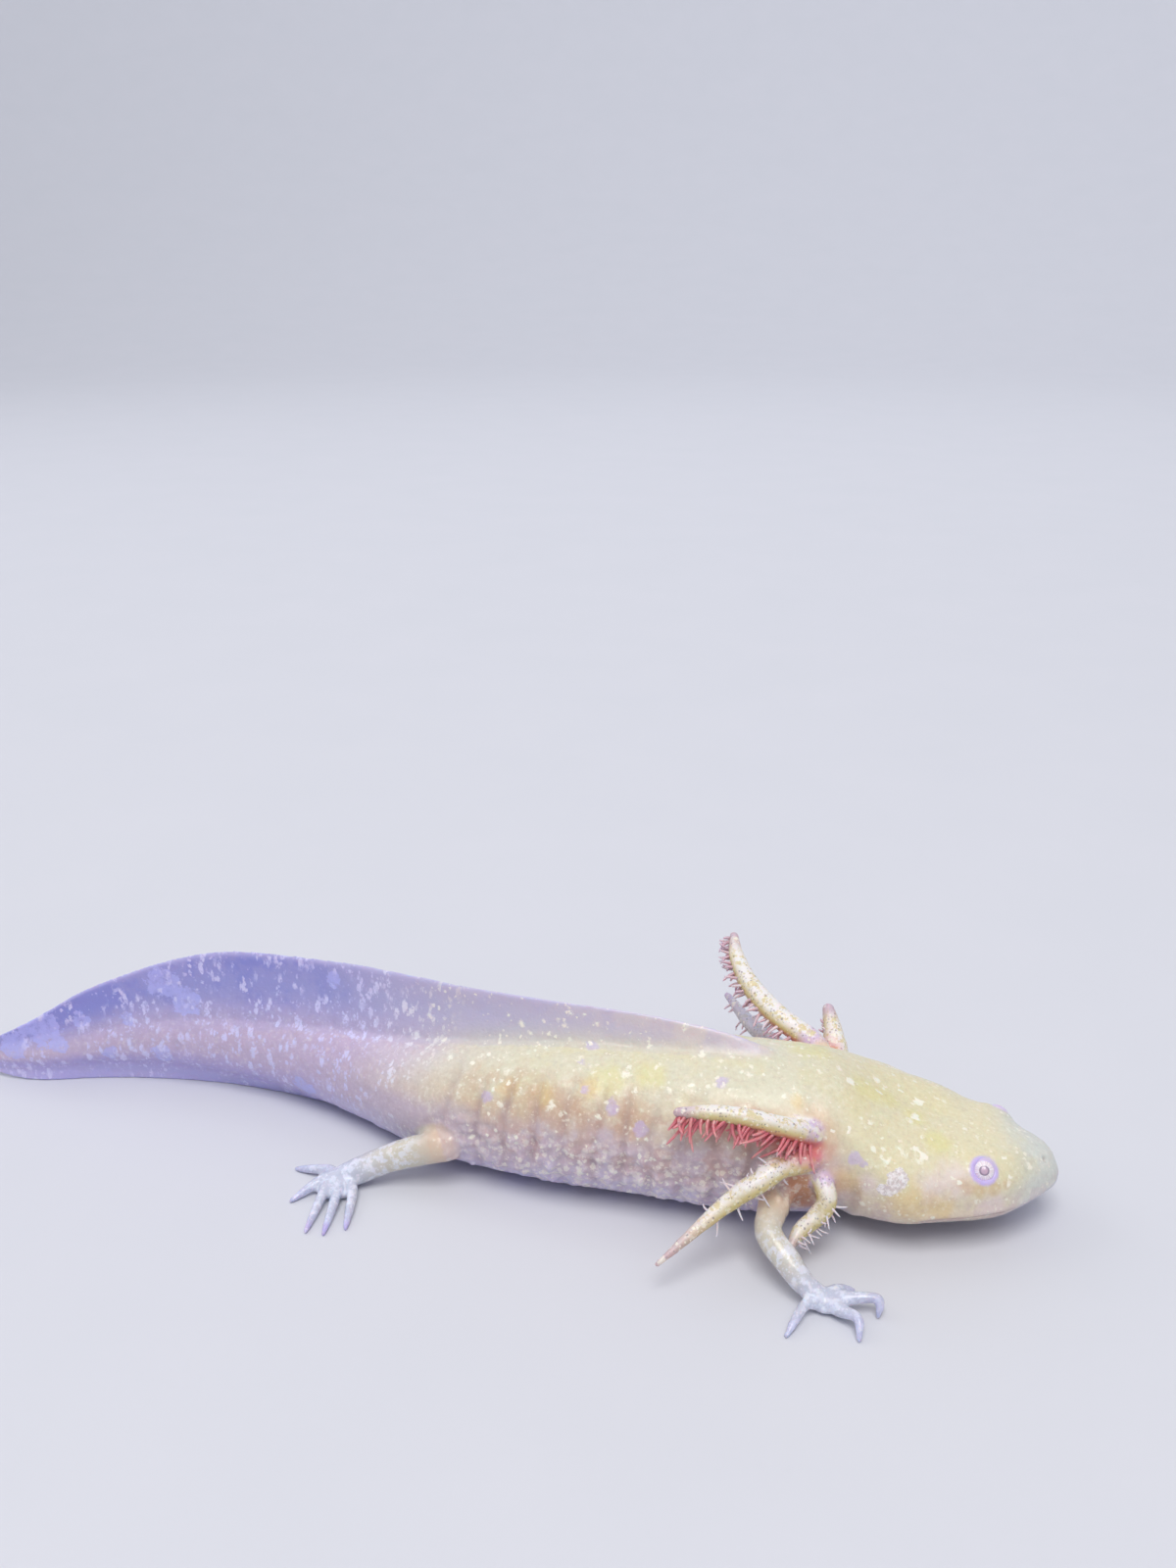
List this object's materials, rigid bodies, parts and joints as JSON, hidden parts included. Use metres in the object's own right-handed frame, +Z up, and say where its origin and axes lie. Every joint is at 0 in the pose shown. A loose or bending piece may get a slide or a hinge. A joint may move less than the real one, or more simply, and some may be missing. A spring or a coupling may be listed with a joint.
{
  "type": "axolotl",
  "caption": "Life-size still model of a golden albino axolotl at rest, with feathery outer gills, splayed legs and a tall tail fin",
  "frame": {"origin": "on the floor under the middle of the trunk, on the flat of the belly", "axes": "+X along the trunk towards the head, +Y to the animal's left, +Z up"},
  "size_m": [0.2212, 0.076, 0.0355],
  "materials": {
    "golden_skin": "moist golden albino skin, yellow above and cream to lilac below, with pale specks",
    "fin_skin": "thin milky lavender fin skin with pale specks",
    "gill_skin": "pale speckled stalks with pink and red filaments",
    "eye_lens": "wet clear eye over a pale iris"
  },
  "bodies": {
    "root": {"dorsal_fin_front": "fin_skin", "dorsal_fin_rear": "fin_skin", "eye_left": "eye_lens", "eye_right": "eye_lens", "foot_left": "golden_skin", "foot_right": "golden_skin", "forearm_left": "golden_skin", "forearm_right": "golden_skin", "gill_left_lower": "gill_skin", "gill_left_middle": "gill_skin", "gill_left_upper": "gill_skin", "gill_right_lower": "gill_skin", "gill_right_middle": "gill_skin", "gill_right_upper": "gill_skin", "hand_left": "golden_skin", "hand_right": "golden_skin", "head": "golden_skin", "lower_jaw": "golden_skin", "neck": "golden_skin", "shank_left": "golden_skin", "shank_right": "golden_skin", "tail_base": "golden_skin", "tail_fin_lower_base": "fin_skin", "tail_fin_lower_middle": "fin_skin", "tail_fin_lower_tip": "fin_skin", "tail_fin_upper_base": "fin_skin", "tail_fin_upper_middle": "fin_skin", "tail_fin_upper_tip": "fin_skin", "tail_middle": "golden_skin", "tail_tip": "golden_skin", "thigh_left": "golden_skin", "thigh_right": "golden_skin", "trunk_front": "golden_skin", "trunk_rear": "golden_skin", "upper_arm_left": "golden_skin", "upper_arm_right": "golden_skin"}
  },
  "joints": []
}
